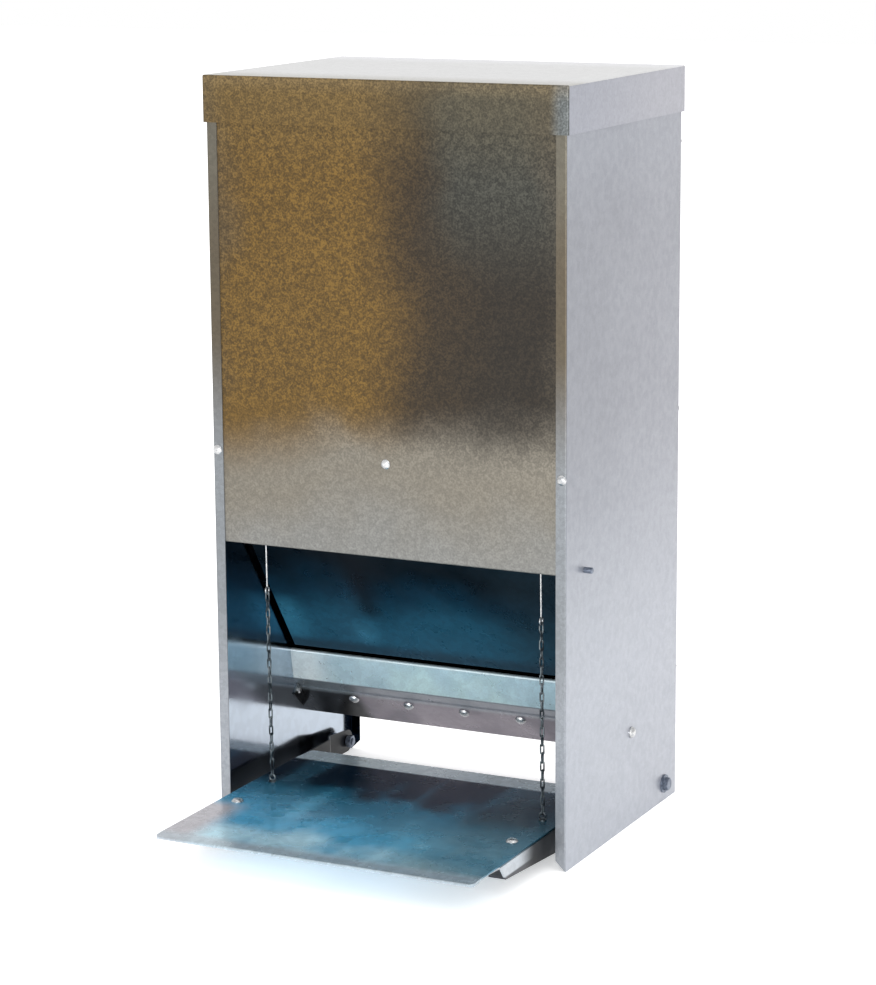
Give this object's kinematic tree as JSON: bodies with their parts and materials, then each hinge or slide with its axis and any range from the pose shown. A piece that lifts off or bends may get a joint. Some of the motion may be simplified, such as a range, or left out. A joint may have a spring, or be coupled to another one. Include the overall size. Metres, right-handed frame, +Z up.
{
  "type": "treadle poultry feeder",
  "caption": "Free-standing galvanised feed hopper with a lift-off lid; a hinged flap over its trough is opened by a treadle plate through hanging chains.",
  "frame": {"origin": "on the floor under the middle of the whole object, treadle included", "axes": "+Z up, -Y is the front where the treadle stands out, +X to the right seen from the front"},
  "size_m": [0.2644, 0.2999, 0.5],
  "materials": {
    "side_sheet": "satin galvanised sheet, faint spangle",
    "front_sheet": "galvanised sheet with a fine mottled spangle",
    "lid_sheet": "galvanised sheet with a fine mottled spangle",
    "inner_sheet": "bright smooth galvanised sheet",
    "flap_sheet": "bright smooth galvanised sheet",
    "treadle_sheet": "bright smooth galvanised sheet",
    "zinc_fasteners": "bright zinc plate",
    "chain_wire": "zinc plated wire"
  },
  "bodies": {
    "housing": {"left_side_panel": "side_sheet", "right_side_panel": "side_sheet", "front_panel": "front_sheet", "back_panel": "side_sheet", "chute": "inner_sheet", "trough_pan": "inner_sheet", "trough_lip": "inner_sheet", "lip_screws": "zinc_fasteners", "lip_nuts": "zinc_fasteners", "front_rivets": "zinc_fasteners", "back_rivets": "zinc_fasteners", "trough_side_rivets": "zinc_fasteners", "trough_back_rivets": "zinc_fasteners", "flap_pivot_bolts": "zinc_fasteners", "flap_pivot_nuts": "zinc_fasteners", "treadle_pivot_bolts": "zinc_fasteners", "treadle_pivot_spacers": "zinc_fasteners", "treadle_pivot_nuts": "zinc_fasteners"},
    "lid": {"lid": "lid_sheet"},
    "flap": {"flap": "flap_sheet", "flap_ballast_bar": "flap_sheet"},
    "treadle": {"treadle_plate": "treadle_sheet", "treadle_arm_left": "treadle_sheet", "treadle_arm_right": "treadle_sheet", "treadle_screws": "zinc_fasteners", "treadle_nuts": "zinc_fasteners", "treadle_eyes": "zinc_fasteners", "treadle_eye_nuts": "zinc_fasteners"},
    "chain_left": {"chain_left": "chain_wire", "chain_hook_left": "chain_wire"},
    "chain_right": {"chain_right": "chain_wire", "chain_hook_right": "chain_wire"}
  },
  "joints": [
    {"name": "treadle_hinge", "type": "hinge", "parent": "housing", "child": "treadle", "pos_m": [0, 0.1264, 0.012], "axis": [1, 0, 0], "range_deg": [0, 1.69]},
    {"name": "flap_hinge", "type": "hinge", "parent": "housing", "child": "flap", "pos_m": [0, -0.0116, 0.1922], "axis": [1, 0, 0], "range_deg": [0, 25]},
    {"name": "chain_left_eye", "type": "hinge", "parent": "treadle", "child": "chain_left", "pos_m": [-0.1, -0.0171, 0.02815], "axis": [1, 0, 0], "range_deg": [-1.2, 0]},
    {"name": "chain_right_eye", "type": "hinge", "parent": "treadle", "child": "chain_right", "pos_m": [0.1, -0.0171, 0.02815], "axis": [1, 0, 0], "range_deg": [-1.2, 0]},
    {"name": "lid_lift", "type": "slide", "parent": "housing", "child": "lid", "axis": [0, 0, 1], "range_m": [0, 0.08]}
  ],
  "couplings": [
    {"joint": "flap_hinge", "follows": "treadle_hinge", "ratio": 14.79},
    {"joint": "chain_left_eye", "follows": "treadle_hinge", "ratio": -0.665},
    {"joint": "chain_right_eye", "follows": "treadle_hinge", "ratio": -0.665}
  ]
}
